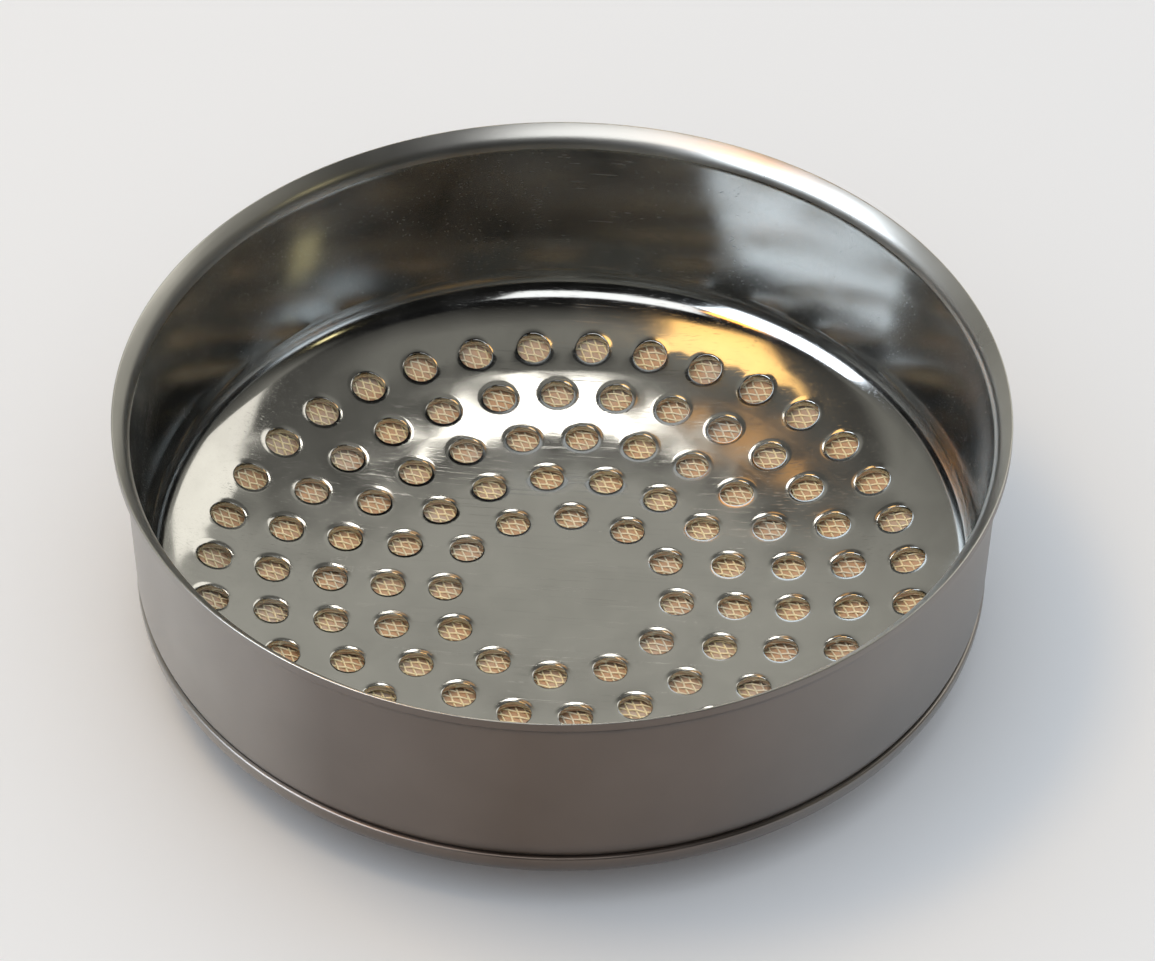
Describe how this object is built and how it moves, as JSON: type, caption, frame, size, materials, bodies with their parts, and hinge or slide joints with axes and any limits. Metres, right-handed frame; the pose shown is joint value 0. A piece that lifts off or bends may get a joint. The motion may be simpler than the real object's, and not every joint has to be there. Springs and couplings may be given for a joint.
{
  "type": "espresso shower screen",
  "caption": "Round stainless shower screen for an espresso group: a drawn cup with a flared lip and rings of punched holes in its dished base, a woven wire disc below, and a thin retaining ring.",
  "frame": {"origin": "on the axis, at the lowest point of the wire mesh, which is the centre of its underside", "axes": "+Z along the axis, from the mesh towards the open rim; +X through the first hole of every ring"},
  "size_m": [0.06, 0.06, 0.0183],
  "materials": {
    "cup_steel": "polished inside, satin outside, lightly scratched",
    "ring_steel": "satin",
    "wire_steel": "bright drawn wire"
  },
  "bodies": {
    "root": {"drawn_cup": "cup_steel", "wire_mesh": "wire_steel", "retaining_ring": "ring_steel"}
  },
  "joints": []
}
